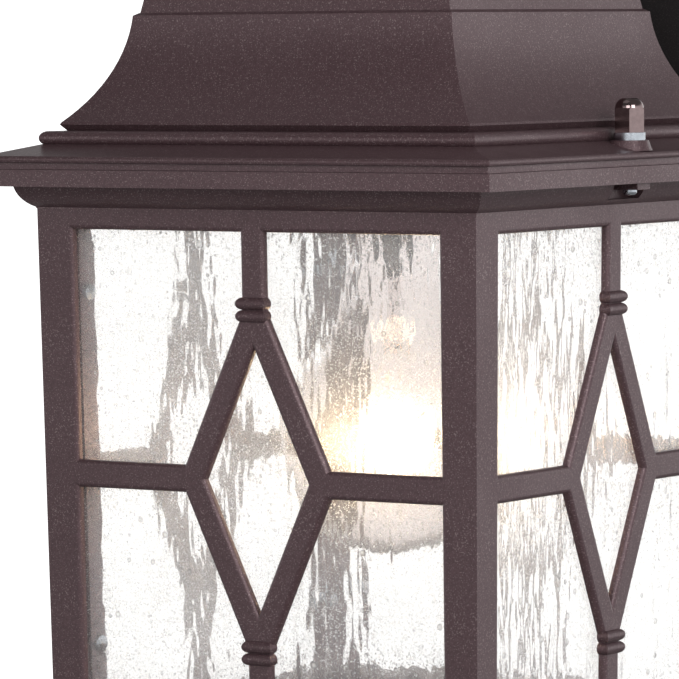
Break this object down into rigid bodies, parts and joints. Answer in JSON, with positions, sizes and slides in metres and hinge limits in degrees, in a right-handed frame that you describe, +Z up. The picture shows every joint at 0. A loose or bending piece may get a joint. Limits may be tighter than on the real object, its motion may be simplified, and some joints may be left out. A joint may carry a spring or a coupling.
{
  "type": "outdoor wall lantern",
  "caption": "Square outdoor wall lantern with seeded glass, a diamond lattice on each side, a curved tiered roof, a gooseneck arm and a rectangular back plate.",
  "frame": {"origin": "middle of the back plate on the wall's surface, between the two box-screw slots of the mounting crossbar", "axes": "+Z up, +Y into the wall, +X to the right for someone facing the wall; the lantern hangs out towards -Y"},
  "size_m": [0.1786, 0.2173, 0.3953],
  "materials": {
    "bronze_casting": "cast aluminium with a dark purple-brown bronze powder coat, fine metallic speckle",
    "plate_casting": "the same dark bronze powder coat, in shade",
    "bronze_nut": "plated dark bronze, glossier than the castings",
    "seeded_glass": "clear seeded glass with small bubbles and gentle waves",
    "zinc_steel": "bright zinc-plated steel",
    "porcelain": "white glazed porcelain",
    "socket_cap_metal": "plated sheet steel",
    "brass": "bright brass",
    "bulb_clear_glass": "clear thin glass",
    "bulb_aluminium": "rolled aluminium thread",
    "solder": "dull solder",
    "black_glass": "black vitrite",
    "nickel_wire": "fine drawn wire",
    "tungsten": "coiled tungsten, lit",
    "black_insulation": "vinyl",
    "white_insulation": "vinyl",
    "green_insulation": "vinyl",
    "orange_plastic": "moulded",
    "green_screw": "green dyed zinc",
    "foam": "closed-cell foam"
  },
  "bodies": {
    "fixture": {"lower_roof": "bronze_casting", "upper_roof": "bronze_casting", "roof_cap": "bronze_casting", "arm": "bronze_casting", "back_plate": "plate_casting", "lamp_pipe": "zinc_steel", "pipe_locknuts": "zinc_steel", "plate_nipple": "zinc_steel", "plate_nipple_nut": "zinc_steel", "plate_studs": "zinc_steel", "plate_locknuts": "zinc_steel", "mounting_crossbar": "zinc_steel", "lamp_socket": "porcelain", "socket_cap": "socket_cap_metal", "socket_screw_shell": "brass", "socket_centre_contact": "brass", "black_wire": "black_insulation", "white_wire": "white_insulation", "ground_wire": "green_insulation", "wire_connectors": "orange_plastic", "ground_screw": "green_screw", "wall_gasket": "foam"},
    "cage": {"front_side_panel": "bronze_casting", "right_side_panel": "bronze_casting", "back_side_panel": "bronze_casting", "left_side_panel": "bronze_casting", "front_right_corner_post": "bronze_casting", "back_right_corner_post": "bronze_casting", "back_left_corner_post": "bronze_casting", "front_left_corner_post": "bronze_casting", "front_glass_pane": "seeded_glass", "right_glass_pane": "seeded_glass", "back_glass_pane": "seeded_glass", "left_glass_pane": "seeded_glass", "crown_moulding": "bronze_casting", "cage_studs": "zinc_steel", "panel_screws": "zinc_steel", "crown_screws": "zinc_steel", "base_screws": "zinc_steel", "base_pan": "bronze_casting", "drop_finial": "bronze_casting", "finial_nut": "zinc_steel"},
    "bulb_contact": {"bulb_tip_contact": "solder"},
    "bulb": {"bulb_glass": "bulb_clear_glass", "bulb_base_shell": "bulb_aluminium", "bulb_insulator": "black_glass", "bulb_stem": "bulb_clear_glass", "filament_leads": "nickel_wire", "bulb_filament": "tungsten"},
    "roof_washer_right": {"roof_lock_washer_right": "zinc_steel"},
    "roof_nut_right": {"roof_cap_nut_right": "bronze_nut"},
    "plate_ring_right": {"plate_washer_right": "zinc_steel"},
    "plate_nut_right": {"plate_cap_nut_right": "bronze_nut"},
    "roof_washer_left": {"roof_lock_washer_left": "zinc_steel"},
    "roof_nut_left": {"roof_cap_nut_left": "bronze_nut"},
    "plate_ring_left": {"plate_washer_left": "zinc_steel"},
    "plate_nut_left": {"plate_cap_nut_left": "bronze_nut"}
  },
  "joints": [
    {"name": "cage_drop", "type": "slide", "parent": "fixture", "child": "cage", "axis": [0, 0, -1], "range_m": [0, 0.12]},
    {"name": "bulb_advance", "type": "slide", "parent": "fixture", "child": "bulb_contact", "axis": [0, 0, -1], "range_m": [0, 0.01452]},
    {"name": "bulb_turn", "type": "hinge", "parent": "bulb_contact", "child": "bulb", "pos_m": [0, -0.128, -0.097], "axis": [0, 0, -1], "range_deg": [0, 1440]},
    {"name": "roof_nut_right_lift", "type": "slide", "parent": "fixture", "child": "roof_washer_right", "axis": [0, 0, 1], "range_m": [0, 0.00635]},
    {"name": "roof_nut_right_turn", "type": "hinge", "parent": "roof_washer_right", "child": "roof_nut_right", "pos_m": [0.0818, -0.128, -0.0755], "axis": [0, 0, 1], "range_deg": [0, 2881]},
    {"name": "plate_nut_right_lift", "type": "slide", "parent": "fixture", "child": "plate_ring_right", "axis": [0, -1, 0], "range_m": [0, 0.00715]},
    {"name": "plate_nut_right_turn", "type": "hinge", "parent": "plate_ring_right", "child": "plate_nut_right", "pos_m": [0.035, -0.0231, 0], "axis": [0, -1, 0], "range_deg": [0, 3241]},
    {"name": "roof_nut_left_lift", "type": "slide", "parent": "fixture", "child": "roof_washer_left", "axis": [0, 0, 1], "range_m": [0, 0.00635]},
    {"name": "roof_nut_left_turn", "type": "hinge", "parent": "roof_washer_left", "child": "roof_nut_left", "pos_m": [-0.0818, -0.128, -0.0755], "axis": [0, 0, 1], "range_deg": [0, 2881]},
    {"name": "plate_nut_left_lift", "type": "slide", "parent": "fixture", "child": "plate_ring_left", "axis": [0, -1, 0], "range_m": [0, 0.00715]},
    {"name": "plate_nut_left_turn", "type": "hinge", "parent": "plate_ring_left", "child": "plate_nut_left", "pos_m": [-0.035, -0.0231, 0], "axis": [0, -1, 0], "range_deg": [0, 3241]}
  ],
  "couplings": [
    {"joint": "bulb_advance", "follows": "bulb_turn", "m_per_rad": 0.00057773},
    {"joint": "roof_nut_right_turn", "follows": "roof_nut_right_lift", "rad_per_m": 7913.3},
    {"joint": "plate_nut_right_turn", "follows": "plate_nut_right_lift", "rad_per_m": 7913.3},
    {"joint": "roof_nut_left_turn", "follows": "roof_nut_left_lift", "rad_per_m": 7913.3},
    {"joint": "plate_nut_left_turn", "follows": "plate_nut_left_lift", "rad_per_m": 7913.3}
  ]
}
